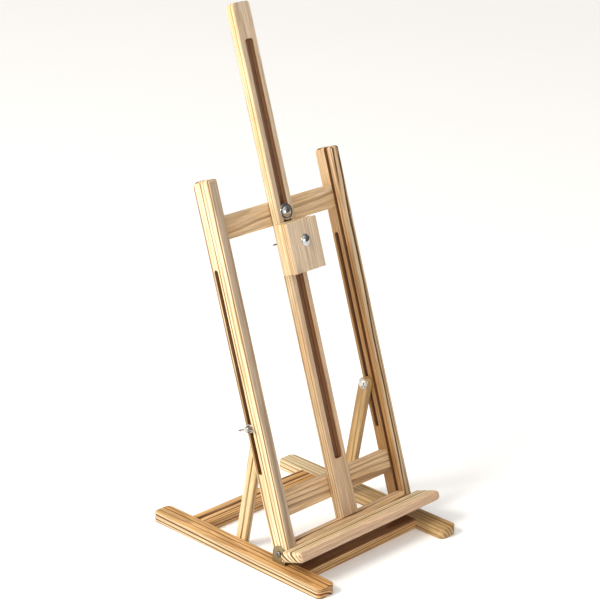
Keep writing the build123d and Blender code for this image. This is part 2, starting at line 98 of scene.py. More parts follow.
# ---- shader helpers
class Shader:
    """Builds the nodes of one material."""

    def __init__(self, name):
        self.material = bpy.data.materials.new(name)
        self.material.use_nodes = True
        self.tree = self.material.node_tree
        self.principled = self.tree.nodes["Principled BSDF"]

    def link(self, source, target):
        self.tree.links.new(source, target)

    def feed(self, socket, value):
        """Set a socket to a number or vector, or link another socket to it."""
        if isinstance(value, bpy.types.NodeSocket):
            self.link(value, socket)
        else:
            socket.default_value = value

    def math(self, operation, a, b=0.0, c=0.0, clamp=False):
        node = self.tree.nodes.new("ShaderNodeMath")
        node.operation = operation
        node.use_clamp = clamp
        for socket, value in zip(node.inputs, (a, b, c)):
            self.feed(socket, value)
        return node.outputs[0]

    def dot(self, vector, axis):
        node = self.tree.nodes.new("ShaderNodeVectorMath")
        node.operation = "DOT_PRODUCT"
        self.feed(node.inputs[0], vector)
        self.feed(node.inputs[1], tuple(axis))
        return node.outputs["Value"]

    def combine(self, x, y, z):
        node = self.tree.nodes.new("ShaderNodeCombineXYZ")
        for socket, value in zip(node.inputs, (x, y, z)):
            self.feed(socket, value)
        return node.outputs[0]

    def noise(self, vector, scale=1.0, detail=2.0, roughness=0.5):
        node = self.tree.nodes.new("ShaderNodeTexNoise")
        self.feed(node.inputs["Vector"], vector)
        node.inputs["Scale"].default_value = scale
        node.inputs["Detail"].default_value = detail
        node.inputs["Roughness"].default_value = roughness
        return node.outputs["Fac"]

    def random(self, value):
        node = self.tree.nodes.new("ShaderNodeTexWhiteNoise")
        node.noise_dimensions = "1D"
        self.feed(node.inputs["W"], value)
        return node.outputs["Value"]

    def ramp(self, value, stops):
        """A curve through (place, value) stops, or a colour ramp if the values are colours."""
        node = self.tree.nodes.new("ShaderNodeValToRGB")
        self.feed(node.inputs[0], value)
        elements = node.color_ramp.elements
        while len(elements) < len(stops):
            elements.new(0.5)
        for element, (place, shade) in zip(elements, stops):
            element.position = place
            grey = not hasattr(shade, "__len__")
            element.color = (shade, shade, shade, 1) if grey else (*shade, 1)
        return node.outputs[0]

    def mix(self, factor, a, b, blend="MIX"):
        node = self.tree.nodes.new("ShaderNodeMix")
        node.data_type = "RGBA"
        node.blend_type = blend
        self.feed(node.inputs["Factor"], factor)
        self.feed(node.inputs["A"], a if not isinstance(a, tuple) else (*a, 1))
        self.feed(node.inputs["B"], b if not isinstance(b, tuple) else (*b, 1))
        return node.outputs["Result"]

    def bump(self, height, distance, strength=1.0):
        node = self.tree.nodes.new("ShaderNodeBump")
        node.inputs["Strength"].default_value = strength
        node.inputs["Distance"].default_value = distance
        self.feed(node.inputs["Height"], height)
        self.link(node.outputs[0], self.principled.inputs["Normal"])

    def place(self):
        return self.tree.nodes.new("ShaderNodeTexCoord").outputs["Object"]


# ---- pine
CREAM = (0.80, 0.635, 0.395)
PALE_YELLOW = (0.86, 0.71, 0.46)
HONEY = (0.84, 0.60, 0.36)
DULL_HONEY = (0.56, 0.38, 0.18)
ORANGE_TAN = (0.72, 0.435, 0.185)
# painted shadow: the ledge's shadow on the front bar's top face
LEDGE_SHADOW_BROWN = (0.23, 0.105, 0.055)
ROSE_TAN = (0.55, 0.335, 0.18)
# painted shade of the posts' front faces
SHADED_TAUPE = (0.48, 0.365, 0.265)
# painted shade of the mast's and the canvas holder's front faces
SHADED_PALE_ROSE = (0.74, 0.57, 0.41)
DULL_CREAM = (0.68, 0.52, 0.31)
LATE_BROWN = (0.125, 0.042, 0.011)
LATE_OLIVE = (0.24, 0.118, 0.032)
# painted shade of the ledge board's front
SHADED_ROSY_TAN = (0.67, 0.44, 0.285)
CHESTNUT = (0.37, 0.178, 0.048)
# painted shade for the walls inside slots and grooves
SLOT_SHADE_BROWN = (0.165, 0.052, 0.010)


def pine(name, axes, centre, half_length_mm, pith_mm, ring_mm, early, late, strength, seed, lean,
         wander_mm, slot_shade_boxes=(), tinted=(), heavy=(), calm=()):
    """Sawn pine. Its growth rings are cylinders round a pith line that runs along the grain.

    axes are the directions along the grain, across the wide face and through the thickness.
    pith_mm is where the pith line passes, from the piece's middle, across and through.
    lean is how far that line strays sideways for each unit of length, and wander_mm how far
    it weaves. slot_shade_boxes lists boxes in the same three directions, from the middle, round
    router-cut slots and grooves, whose walls get painted shade for the shadow inside them:
    ((low, high) across, (low, high) through). tinted lists where the colour changes, for the
    wood's own tone and for painted shade and painted light on some faces: (0 for across, 1 for
    through or 2 along, where the change starts, where it ends, tone, amount). heavy lists extra
    dark lines, summer lines and one painted shade line along an edge: (0 or 1, place, half
    width, amount). calm lists sides where the rings are fainter: (0 or 1, where the change
    starts, where it ends, amount).
    """
    s = Shader(name)
    along, wide, thick = axes
    point = s.place()
    length = s.math("MULTIPLY_ADD", s.dot(point, along), 1000.0, -1000.0 * along.dot(centre))
    across = s.math("MULTIPLY_ADD", s.dot(point, wide), 1000.0, -1000.0 * wide.dot(centre))
    through = s.math("MULTIPLY_ADD", s.dot(point, thick), 1000.0, -1000.0 * thick.dot(centre))
    directions = (across, through, length)

    def grain_noise(along_scale, side_scale, detail, roughness=0.5, shift=1.0):
        """Noise drawn out along the grain. Scales are in periods for each millimetre."""
        spot = s.combine(
            s.math("MULTIPLY_ADD", length, along_scale, seed * shift),
            s.math("MULTIPLY", across, side_scale),
            s.math("MULTIPLY", through, side_scale))
        return s.noise(spot, detail=detail, roughness=roughness)

    # distance from the pith line, which leans and weaves slowly
    slow = s.noise(s.combine(s.math("MULTIPLY_ADD", length, 0.005, seed), seed * 1.7, 0.0), detail=1.5)
    weave = s.math("MULTIPLY_ADD", slow, 2.0 * wander_mm, -wander_mm)
    pith_across = s.math("ADD", s.math("MULTIPLY_ADD", length, lean[0], pith_mm[0]), weave)
    pith_through = s.math("ADD", s.math("MULTIPLY_ADD", length, lean[1], pith_mm[1]), weave)
    off_across = s.math("SUBTRACT", across, pith_across)
    off_through = s.math("SUBTRACT", through, pith_through)
    radius = s.math("SQRT", s.math(
        "MULTIPLY_ADD", off_across, off_across, s.math("MULTIPLY", off_through, off_through)))
    ripple = s.math("MULTIPLY_ADD", grain_noise(0.010, 0.05, 2.0), 1.5, -0.75)
    jitter = s.math("MULTIPLY_ADD", grain_noise(0.09, 0.5, 1.0), 0.22, -0.11)
    radius = s.math("ADD", radius, s.math("ADD", ripple, jitter))
    spread = s.noise(s.combine(s.math("MULTIPLY_ADD", radius, 0.10, seed), 0.0, 0.0), detail=0.0)
    ring = s.math("DIVIDE", s.math("MULTIPLY_ADD", spread, 7.0, radius), ring_mm)
    number = s.math("FLOOR", ring)
    part = s.math("FRACT", ring)

    # pale spring wood darkens into a thin brown summer line, which ends sharply
    profile = s.ramp(part, [
        (0.0, 0.12), (0.05, 0.0), (0.42, 0.02), (0.62, 0.24), (0.72, 0.96), (0.93, 1.0), (1.0, 0.12)])
    chance = s.random(s.math("ADD", number, seed))
    this_ring = s.math("MULTIPLY_ADD", s.math("MULTIPLY", chance, chance), 0.85, 0.34)
    patch = s.math("MULTIPLY_ADD", grain_noise(0.010, 0.06, 2.0, shift=-1.0), 1.0, 0.50)
    dark = s.math("MULTIPLY", profile, s.math("MULTIPLY", this_ring, patch))
    end = s.ramp(s.math("DIVIDE", s.math("ABSOLUTE", length), half_length_mm + 1.0), [
        (1.0 - 2.2 / (half_length_mm + 1.0), 0.0), (1.0 - 1.4 / (half_length_mm + 1.0), 1.0)])
    force = s.math("MULTIPLY_ADD", end, 1.2 * strength, strength)
    for side, start, stop, amount in calm:
        share = s.math("DIVIDE", s.math("SUBTRACT", directions[side], start), stop - start, clamp=True)
        share = s.math("MULTIPLY", share, s.math("SUBTRACT", 1.0, end))
        force = s.math("MULTIPLY", force, s.math("MULTIPLY_ADD", share, -amount, 1.0))
    dark = s.math("MULTIPLY", dark, force, clamp=True)

    # finer false rings between the strong ones
    thin = s.math("FRACT", s.math("MULTIPLY", ring, 3.0))
    thin = s.ramp(thin, [(0.0, 0.0), (0.55, 0.08), (0.80, 1.0), (0.95, 1.0), (1.0, 0.0)])
    thin = s.math("MULTIPLY", thin, s.math("MULTIPLY", grain_noise(0.02, 0.25, 1.0, shift=2.0), 0.34))

    # fibres, streaks, resin canals and slow changes of tone
    fibre = grain_noise(0.035, 2.4, 3.0, 0.65, shift=0.3)
    streak = grain_noise(0.016, 0.42, 4.0, 0.7, shift=2.6)
    canal = s.ramp(grain_noise(0.14, 3.2, 1.0, shift=0.7), [(0.68, 0.0), (0.76, 1.0)])
    cloud = grain_noise(0.007, 0.05, 3.0, shift=1.3)
    warm = tuple(e * f for e, f in zip(early, (0.90, 0.80, 0.66)))
    pale = tuple(min(1.0, e * f) for e, f in zip(early, (1.05, 1.08, 1.12)))
    body = s.mix(s.ramp(cloud, [(0.34, 0.0), (0.66, 1.0)]), pale, warm)
    for side, start, stop, tone, amount in tinted:
        share = s.math("DIVIDE", s.math("SUBTRACT", directions[side], start), stop - start, clamp=True)
        body = s.mix(s.math("MULTIPLY", share, amount), body, tone)
    body = s.mix(thin, body, late)
    body = s.mix(dark, body, late)
    for side, place_mm, half_mm, amount in heavy:
        near = s.math("ADD", directions[side], s.math("MULTIPLY_ADD", weave, 0.6, -place_mm))
        near = s.math("DIVIDE", s.math("ABSOLUTE", s.math("ADD", near, ripple)), half_mm)
        line = s.math("MULTIPLY", s.ramp(near, [(0.55, amount), (1.0, 0.0)]), s.math("SUBTRACT", 1.0, end))
        body = s.mix(s.math("MULTIPLY", line, patch, clamp=True), body, late)
    body = s.mix(s.math("MULTIPLY", canal, 0.34), body, late)
    body = s.mix(1.0, body, s.ramp(fibre, [(0.28, 0.78), (0.72, 1.10)]), blend="MULTIPLY")
    body = s.mix(1.0, body, s.ramp(streak, [(0.36, 0.74), (0.60, 1.08)]), blend="MULTIPLY")

    # painted shade: the walls of router-cut slots and grooves are darkened to stand in for their shadow
    for (low_a, high_a), (low_t, high_t) in slot_shade_boxes:
        inside = s.math("GREATER_THAN", across, low_a)
        inside = s.math("MULTIPLY", inside, s.math("LESS_THAN", across, high_a))
        inside = s.math("MULTIPLY", inside, s.math("GREATER_THAN", through, low_t))
        inside = s.math("MULTIPLY", inside, s.math("LESS_THAN", through, high_t))
        painted_slot_shade = s.math("MULTIPLY", inside, s.math("MULTIPLY_ADD", fibre, 0.5, 0.58))
        body = s.mix(painted_slot_shade, body, SLOT_SHADE_BROWN)
    s.link(body, s.principled.inputs["Base Color"])
    gloss = s.math("MULTIPLY_ADD", fibre, 0.16, 0.42)
    s.link(s.math("MULTIPLY_ADD", dark, -0.08, gloss), s.principled.inputs["Roughness"])
    s.principled.inputs["Specular IOR Level"].default_value = 0.26
    relief = s.math("MULTIPLY_ADD", dark, 0.5, s.math("MULTIPLY_ADD", canal, -0.6, fibre))
    s.bump(relief, 0.00010, 0.7)
    return s.material


def wear(node, material):
    """Give a CAD node its material in every slot."""
    mesh = nodes[node].data
    if not mesh.materials:
        mesh.materials.append(material)
    for index in range(len(mesh.materials)):
        mesh.materials[index] = material


FRAME_LONG = (POST_UP, POST_BACK, ACROSS)
FRAME_CROSS = (ACROSS, POST_UP, POST_BACK)
MAST_AXES = (POST_UP, ACROSS, POST_BACK)
LEDGE_AXES = (ACROSS, POST_BACK, POST_UP)
RAIL_AXES = (BACK, ACROSS, UP)
BAR_AXES = (ACROSS, BACK, UP)
BRACE_AXES = (BRACE_UP, BRACE_BACK, ACROSS)

# Router-cut slots and grooves of the mast and the posts, from each piece's middle, across and through; their walls
# get painted shade.
MAST_SLOT_SHADE = [((-7.7, 7.7), (-7.2, -2.0)), ((-4.2, 4.2), (-7.0, 7.2))]
LEFT_POST_SLOT_SHADE = [((-7.6, -1.4), (2.2, 7.2)), ((4.4, 11.6), (-7.2, 7.2))]
RIGHT_POST_SLOT_SHADE = [((-7.6, -1.4), (-7.2, -2.2)), ((4.4, 11.6), (-7.2, 7.2))]

# Each piece's timber. The values are explained in pine().
WOOD = {
    "left_rail": dict(
        axes=RAIL_AXES, pith_mm=(-5, -27), ring_mm=3.8, early=ORANGE_TAN, late=LATE_BROWN, strength=2.3,
        seed=3.1, lean=(0.03, 0.03), wander_mm=3, tinted=[(0, -14.4, -16.0, DULL_CREAM, 0.9)],
        calm=[(1, 5.6, 7.3, 0.82)],
        heavy=[(0, 4.0, 1.1, 1.0), (0, -5.5, 0.8, 1.0), (0, 10.5, 0.7, 0.9)]),
    "right_rail": dict(
        axes=RAIL_AXES, pith_mm=(-40, -30), ring_mm=5.6, early=DULL_HONEY, late=LATE_OLIVE, strength=1.1,
        seed=7.7, lean=(0.02, 0.01), wander_mm=3, tinted=[(2, -20, 130, PALE_YELLOW, 0.8)]),
    # the deep brown tint on the front bar's top face is the ledge's painted shadow
    "front_bar": dict(
        axes=BAR_AXES, pith_mm=(-5, -30), ring_mm=4.0, early=ORANGE_TAN, late=LATE_BROWN, strength=1.7,
        seed=12.3, lean=(0.01, 0.02), wander_mm=3, tinted=[(1, 5.6, 7.2, LEDGE_SHADOW_BROWN, 0.85)]),
    "rear_bar": dict(
        axes=BAR_AXES, pith_mm=(22, -30), ring_mm=4.2, early=ORANGE_TAN, late=LATE_BROWN, strength=1.7,
        seed=5.9, lean=(0.02, 0.02), wander_mm=3),
    # the taupe tint on the left post's front face is painted shade
    "left_post": dict(
        axes=FRAME_LONG, pith_mm=(-62, -18), ring_mm=6.2, early=PALE_YELLOW, late=LATE_OLIVE, strength=0.95,
        seed=21.4, lean=(0.006, 0.004), wander_mm=2, slot_shade_boxes=LEFT_POST_SLOT_SHADE,
        tinted=[(0, -14.4, -15.8, SHADED_TAUPE, 0.9), (1, 5.0, 7.4, HONEY, 0.8)],
        # the heavy line at -13.2 is painted shade along the outer face's front edge
        heavy=[(0, -13.2, 1.5, 2.0)], calm=[(0, -14.4, -15.8, 0.3)]),
    # the faint taupe tint on the right post's front face is painted shade
    "right_post": dict(
        axes=FRAME_LONG, pith_mm=(52, 34), ring_mm=5.0, early=CREAM, late=LATE_BROWN, strength=1.15,
        seed=17.2, lean=(0.006, 0.004), wander_mm=2, slot_shade_boxes=RIGHT_POST_SLOT_SHADE,
        tinted=[
            (1, -5.6, -7.3, CHESTNUT, 0.9), (0, -14.6, -16.0, SHADED_TAUPE, 0.25), (2, 120, 235, HONEY, 0.7)],
        heavy=[(1, 3.2, 0.8, 1.0)], calm=[(1, -5.0, -7.0, 0.55)]),
    "upper_crossbar": dict(
        axes=FRAME_CROSS, pith_mm=(18, 40), ring_mm=4.6, early=HONEY, late=LATE_OLIVE, strength=0.65,
        seed=9.3, lean=(0.02, 0.01), wander_mm=3),
    "lower_crossbar": dict(
        axes=FRAME_CROSS, pith_mm=(-24, 36), ring_mm=4.6, early=HONEY, late=LATE_BROWN, strength=1.2,
        seed=31.6, lean=(0.02, 0.02), wander_mm=3),
    # the pale rose tint on the mast's front face is painted shade, and its slots get painted shade too
    "mast": dict(
        axes=MAST_AXES, pith_mm=(-12, 58), ring_mm=4.4, early=PALE_YELLOW, late=LATE_OLIVE, strength=1.05,
        seed=14.8, lean=(0.004, 0.006), wander_mm=2, slot_shade_boxes=MAST_SLOT_SHADE,
        tinted=[(1, -5.6, -7.0, SHADED_PALE_ROSE, 0.85), (2, 60, -90, ROSE_TAN, 0.6)], calm=[(1, -5.6, -7.0, 0.35)]),
    # the rosy tan tint on the ledge board's front is painted shade
    "ledge_board": dict(
        axes=LEDGE_AXES, pith_mm=(66, -62), ring_mm=5.2, early=CREAM, late=LATE_BROWN, strength=1.2,
        seed=26.5, lean=(0.01, 0.01), wander_mm=2,
        tinted=[(0, -11.0, -17.0, SHADED_ROSY_TAN, 0.9)], calm=[(0, -9.0, -14.5, 0.8)]),
    "ledge_cleat": dict(
        axes=FRAME_CROSS, pith_mm=(14, 24), ring_mm=4.4, early=HONEY, late=LATE_BROWN, strength=1.3,
        seed=2.2, lean=(0.01, 0.01), wander_mm=2),
    # the canvas holder's left face gets a honey tint of painted light, and its front face a pale rose tint of
    # painted shade
    "canvas_holder": dict(
        axes=MAST_AXES, pith_mm=(-22, 66), ring_mm=7.0, early=CREAM, late=LATE_OLIVE, strength=0.75,
        seed=19.9, lean=(0.01, 0.01), wander_mm=1,
        tinted=[(0, -28.5, -30.0, HONEY, 0.5), (1, -12.4, -13.9, SHADED_PALE_ROSE, 0.85)],
        heavy=[(1, -9.0, 0.8, 0.9)], calm=[(1, -12.4, -13.9, 0.5)]),
    "left_brace": dict(
        axes=BRACE_AXES, pith_mm=(22, -40), ring_mm=4.6, early=CREAM, late=LATE_OLIVE, strength=1.0,
        seed=8.4, lean=(0.02, 0.01), wander_mm=2),
    "right_brace": dict(
        axes=BRACE_AXES, pith_mm=(-22, -40), ring_mm=4.4, early=DULL_HONEY, late=LATE_OLIVE, strength=1.2,
        seed=28.7, lean=(0.02, 0.01), wander_mm=2),
    "base_dowels": dict(
        axes=BAR_AXES, pith_mm=(10, 10), ring_mm=3.0, early=CREAM, late=LATE_OLIVE, strength=0.5,
        seed=4.4, lean=(0, 0), wander_mm=1),
    "crossbar_dowels": dict(
        axes=FRAME_CROSS, pith_mm=(10, 10), ring_mm=3.0, early=CREAM, late=LATE_OLIVE, strength=0.5,
        seed=6.6, lean=(0, 0), wander_mm=1),
}
for node, timber in WOOD.items():
    low, high = span(node, timber["axes"][0])
    timber["centre"] = middle(node, timber["axes"])
    timber["half_length_mm"] = (high - low) / 2 / MM
    wear(node, pine("pine_" + node, **timber))


# ---- metals
def plated(name, colour, roughness, cloud_amount, scratch_amount, grain_mm=0.6):
    """Plated metal with faint clouds in its colour and fine scratches in its gloss."""
    s = Shader(name)
    point = s.place()
    cloud = s.noise(point, scale=260.0, detail=4.0)
    fine = s.noise(point, scale=1000.0 / grain_mm, detail=3.0)
    darker = tuple(c * (1 - cloud_amount) for c in colour)
    tint = s.mix(s.ramp(cloud, [(0.35, 0.0), (0.65, 1.0)]), darker, colour)
    s.link(tint, s.principled.inputs["Base Color"])
    s.principled.inputs["Metallic"].default_value = 1.0
    rough = s.math("MULTIPLY_ADD", fine, scratch_amount, roughness)
    rough = s.math("MULTIPLY_ADD", cloud, scratch_amount * 0.6, rough)
    s.link(rough, s.principled.inputs["Roughness"])
    s.bump(s.math("MULTIPLY_ADD", cloud, 0.7, s.math("MULTIPLY", fine, 0.3)), 0.00004, 0.6)
    return s.material


CHROME = plated("chrome", (0.64, 0.63, 0.61), 0.05, 0.12, 0.06)
NUT_METAL = plated("nut_plating", (0.32, 0.305, 0.28), 0.15, 0.25, 0.12)
ZINC = plated("yellow_zinc", (0.34, 0.275, 0.155), 0.42, 0.30, 0.18, 0.9)
SCREW_STEEL = plated("screw_steel", (0.26, 0.25, 0.23), 0.28, 0.30, 0.18, 0.4)


# ---- mesh helpers
def add_piece(name, mesh, material, body, replaces, smooth_angle=40):
    """Make a finished piece from a mesh in the row frame and let it ride on its body."""
    piece = bpy.data.objects.new(name, mesh)
    bpy.context.scene.collection.objects.link(piece)
    mesh.materials.clear()
    mesh.materials.append(material)
    mesh.shade_smooth()
    mesh.set_sharp_from_angle(angle=math.radians(smooth_angle))
    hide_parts(*replaces)
    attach(piece, body)
    return piece


def placed(mesh, origin, axis, side):
    """Turn a mesh so that its +Z lies along axis and its +X along side, and move it to origin."""
    z = axis.normalized()
    x = (side - z * side.dot(z)).normalized()
    y = z.cross(x)
    turn = Matrix((x, y, z)).transposed().to_4x4()
    mesh.transform(Matrix.Translation(origin) @ turn)
    return mesh


def joined(meshes):
    """Several meshes as one."""
    builder = bmesh.new()
    for mesh in meshes:
        builder.from_mesh(mesh)
    result = bpy.data.meshes.new("joined")
    builder.to_mesh(result)
    builder.free()
    return result


def lathe(profile, turns=64):
    """A round shape from (radius, height) points in mm, turned about Z. The profile is closed."""
    builder = bmesh.new()
    rings = []
    for radius, height in profile:
        if radius < 1e-6:
            rings.append([builder.verts.new((0, 0, height * MM))])
            continue
        ring = []
        for step in range(turns):
            angle = 2 * math.pi * step / turns
            spot = (radius * MM * math.cos(angle), radius * MM * math.sin(angle), height * MM)
            ring.append(builder.verts.new(spot))
        rings.append(ring)
    pairs = list(zip(rings, rings[1:]))
    if len(rings[0]) > 1:
        pairs.append((rings[-1], rings[0]))
    for low, high in pairs:
        for step in range(turns):
            after = (step + 1) % turns
            corners = [low[step % len(low)], low[after % len(low)]]
            corners += [high[after % len(high)], high[step % len(high)]]
            unique = list(dict.fromkeys(corners))
            if len(unique) > 2:
                builder.faces.new(unique)
    bmesh.ops.recalc_face_normals(builder, faces=builder.faces)
    mesh = bpy.data.meshes.new("lathe")
    builder.to_mesh(mesh)
    builder.free()
    return mesh


def arc(centre, radius, start, end, steps):
    """Points of an arc in (radius, height), angles in degrees from the radius direction."""
    points = []
    for step in range(steps + 1):
        angle = math.radians(start + (end - start) * step / steps)
        points.append((centre[0] + radius * math.cos(angle), centre[1] + radius * math.sin(angle)))
    return points


def evaluated(piece):
    """The mesh of an object with its modifiers applied. The object is removed."""
    graph = bpy.context.evaluated_depsgraph_get()
    mesh = bpy.data.meshes.new_from_object(piece.evaluated_get(graph))
    bpy.data.objects.remove(piece)
    return mesh


def scratch(mesh):
    """A temporary object for a mesh."""
    piece = bpy.data.objects.new("scratch", mesh)
    bpy.context.scene.collection.objects.link(piece)
    return piece


def cut_by(mesh, cutter_mesh):
    """A mesh with another one cut out of it."""
    piece = scratch(mesh)
    cutter = scratch(cutter_mesh)
    cut = piece.modifiers.new("cut", "BOOLEAN")
    cut.operation = "DIFFERENCE"
    cut.solver = "EXACT"
    cut.object = cutter
    result = evaluated(piece)
    bpy.data.objects.remove(cutter)
    return result


# ---- hardware sizes in mm, the same as the CAD model's
BOLT_RADIUS = 2.98          # a hair under the bores it passes
BOLT_HEAD_DIAMETER = 16.0
BOLT_HEAD_HEIGHT = 3.6
BRACE_HEAD_DIAMETER = 12.5
BRACE_HEAD_HEIGHT = 3.0
WASHER_BORE = 6.5
NUT_BORE = 6.1
CLAMP_WASHER = 23.0
HOLDER_WASHER = 17.5
BACK_WASHER = 18.0
BRACE_WASHER = 15.0
SLOT_WASHER = 12.0
PIVOT_DIAMETER = 5.0
PIVOT_HEAD_DIAMETER = 9.0
PAN_HEAD_RATIO = 0.36       # height of a pan head over its diameter
BRACKET_THICKNESS = 1.6
BRACKET_BEND = 2.4          # outer radius of the bracket's fold
BRACKET_TOE_RADIUS = 4.0

# ---- hardware shapes, in mm along +Z, with the seat at z = 0
THREAD_PITCH_MM = 1.0
THREAD_DEPTH_MM = 0.42
UNTHREADED = 1000.0         # a start of thread that no rod reaches


def threaded_rod(radius, low, high, thread_from):
    """A rod from low to high, with a helical thread above thread_from and a bevelled end."""
    builder = bmesh.new()
    turns = 36
    heights = [low]
    if thread_from > low:
        heights.append(thread_from)
    step = THREAD_PITCH_MM / 6
    count = int((high - heights[-1]) / step)
    heights += [heights[-1] + step * (i + 1) for i in range(count)]
    heights[-1] = high
    rings = []
    for height in heights:
        ring = []
        for index in range(turns):
            share = index / turns
            depth = 0.0
            if height > thread_from:
                phase = (height / THREAD_PITCH_MM - share) % 1.0
                ramp_in = min(1.0, (height - thread_from) / THREAD_PITCH_MM)
                depth = THREAD_DEPTH_MM * (1 - abs(2 * phase - 1)) * ramp_in
            end_cut = max(0.0, 0.9 - (high - height))
            r = min(radius - depth, radius - end_cut) * MM
            angle = 2 * math.pi * share
            ring.append(builder.verts.new((r * math.cos(angle), r * math.sin(angle), height * MM)))
        rings.append(ring)
    for low_ring, high_ring in zip(rings, rings[1:]):
        for index in range(turns):
            after = (index + 1) % turns
            builder.faces.new((low_ring[index], low_ring[after], high_ring[after], high_ring[index]))
    builder.faces.new(list(reversed(rings[0])))
    builder.faces.new(rings[-1])
    mesh = bpy.data.meshes.new("rod")
    builder.to_mesh(mesh)
    builder.free()
    return mesh


def dome(diameter, height):
    """A carriage bolt's head, below z = 0, with a small upright rim."""
    half = diameter / 2
    rim = 0.5
    rise = height - rim
    ball = (half**2 + rise**2) / (2 * rise)
    reach = math.degrees(math.asin(half / ball))
    crown = arc((0, ball - height), ball, -90, -90 + reach, 18)
    crown[0] = (0, -height)
    profile = crown + [(half + 0.02, -rim * 0.7), (half, -0.12), (half - 0.15, 0), (0, 0)]
    return lathe(profile, 72)


def ring_washer(diameter, bore, thickness):
    """A stamped washer above z = 0 with one rolled edge and one sharper one."""
    outer = diameter / 2
    inner = bore / 2
    roll = 0.42 * thickness
    profile = arc((outer - roll, thickness - roll), roll, 0, 90, 6)
    profile += arc((inner + roll, thickness - roll), roll, 90, 180, 6)
    profile += [(inner, 0.1), (inner + 0.1, 0), (outer - 0.1, 0), (outer, 0.1)]
    return lathe(profile, 72)


def wing_nut_mesh(reach, height, hub_height, base_radius, top_radius, bore):
    """A cast wing nut: a tapered hub that flows into two rounded wings along X."""
    hub = lathe([(0, 0), (base_radius - 0.4, 0), (base_radius, 0.5), (base_radius - 0.1, 1.4),
                 (top_radius + 0.3, hub_height - 1.0), (top_radius - 0.4, hub_height), (0, hub_height)], 48)
    parts = [hub]
    stations = 14
    around = 20
    for side in (-1, 1):
        builder = bmesh.new()
        rings = []
        for station in range(stations + 1):
            t = station / stations
            x = 2.0 + (reach - 2.0) * t
            lift = 3.3 + (height * 0.72 - 3.3) * (t ** 1.35)
            half_tall = 2.1 + 1.35 * math.sin(math.pi * min(1.0, t * 0.92 + 0.05)) + 0.35 * t
            round_off = math.sqrt(max(0.0, 1 - max(0.0, (t - 0.72) / 0.28) ** 2))
            half_tall *= max(0.06, round_off)
            half_thick = (1.55 - 0.45 * t) * max(0.12, round_off ** 0.6)
            lean_angle = math.radians(18 + 26 * t)
            ring = []
            for index in range(around):
                angle = 2 * math.pi * index / around
                out = half_tall * math.sin(angle)
                wide = half_thick * math.cos(angle)
                px = side * (x - out * math.sin(lean_angle))
                ring.append(builder.verts.new((px * MM, wide * MM, (lift + out * math.cos(lean_angle)) * MM)))
            rings.append(ring)
        for first, second in zip(rings, rings[1:]):
            for index in range(around):
                after = (index + 1) % around
                builder.faces.new((first[index], first[after], second[after], second[index]))
        builder.faces.new(rings[0])
        builder.faces.new(list(reversed(rings[-1])))
        bmesh.ops.recalc_face_normals(builder, faces=builder.faces)
        mesh = bpy.data.meshes.new("wing")
        builder.to_mesh(mesh)
        builder.free()
        parts.append(mesh)
    piece = scratch(joined(parts))
    remesh = piece.modifiers.new("fuse", "REMESH")
    remesh.mode = "VOXEL"
    remesh.voxel_size = 0.3 * MM
    smooth = piece.modifiers.new("soften", "SMOOTH")
    smooth.factor = 0.5
    smooth.iterations = 5
    solid = evaluated(piece)
    drill = lathe([(0, -2), (bore / 2, -2), (bore / 2, height + 4), (0, height + 4)], 36)
    return cut_by(solid, drill)


def cross_cutter(size, depth, top):
    """A tapered cross that cuts a screw's driver recess down from height top."""
    parts = []
    for turn in (0, 90):
        builder = bmesh.new()
        half = size / 2
        rows = []
        for z, share in ((top - 0.4, 1.1), (top + depth, 0.35)):
            corners = []
            for x, y in ((-half, -0.42), (half, -0.42), (half, 0.42), (-half, 0.42)):
                x *= share
                corners.append(builder.verts.new((x * MM, y * MM, z * MM)))
            rows.append(corners)
        builder.faces.new(rows[0])
        builder.faces.new(list(reversed(rows[1])))
        for index in range(4):
            after = (index + 1) % 4
            builder.faces.new((rows[0][index], rows[1][index], rows[1][after], rows[0][after]))
        bmesh.ops.recalc_face_normals(builder, faces=builder.faces)
        mesh = bpy.data.meshes.new("blade")
        builder.to_mesh(mesh)
        builder.free()
        mesh.transform(Matrix.Rotation(math.radians(turn + 20), 4, "Z"))
        parts.append(mesh)
    return parts


def pan_head_screw(diameter, head_diameter, length):
    """A pan-head screw: rounded head below z = 0, threaded shank with a point above."""
    half = head_diameter / 2
    height = head_diameter * PAN_HEAD_RATIO
    profile = [(0, -height), (half * 0.55, -height * 0.97)]
    profile += arc((half - height * 0.55, -height * 0.40), height * 0.55, -80, 0, 8)
    profile += [(half, -0.15), (half - 0.15, 0), (0, 0)]
    head = lathe(profile, 56)
    for blade in cross_cutter(head_diameter * 0.55, 1.5, -height):
        head = cut_by(head, blade)
    shank = threaded_rod(diameter / 2, 0, length, length * 0.25)
    return joined([head, shank])


def flat_head_screw(diameter, head_diameter, length):
    """A countersunk screw: its head is flush with z = 0 and its shank runs up."""
    half = head_diameter / 2
    taper = (head_diameter - diameter) / 2
    head = lathe([(0, 0.04), (half - 0.25, 0.04), (half, 0.2), (diameter / 2, taper), (0, taper)], 48)
    for blade in cross_cutter(head_diameter * 0.6, 1.2, 0):
        head = cut_by(head, blade)
    shank = threaded_rod(diameter / 2, taper * 0.9, length, length * 0.3)
    return joined([head, shank])


def carriage_bolt_mesh(head_diameter, head_height, length, thread_length):
    """A dome-headed bolt with a threaded end. The seat of its head is at z = 0."""
    shank = threaded_rod(BOLT_RADIUS, 0, length, length - thread_length)
    return joined([dome(head_diameter, head_height), shank])


def axis_line(joint):
    """A point and a direction of a joint's axis."""
    return Vector(joints[joint]["pos_m"]), Vector(joints[joint]["axis"]).normalized()


def on_line(point, axis, height):
    """The point of an axis line whose measure along the axis is height."""
    return point + axis * (height - axis.dot(point))


def body_of(node):
    """The CAD body that a node belongs to."""
    for body, members in record["behaviour"]["bodies"].items():
        if node in members:
            return body
    raise KeyError(node)


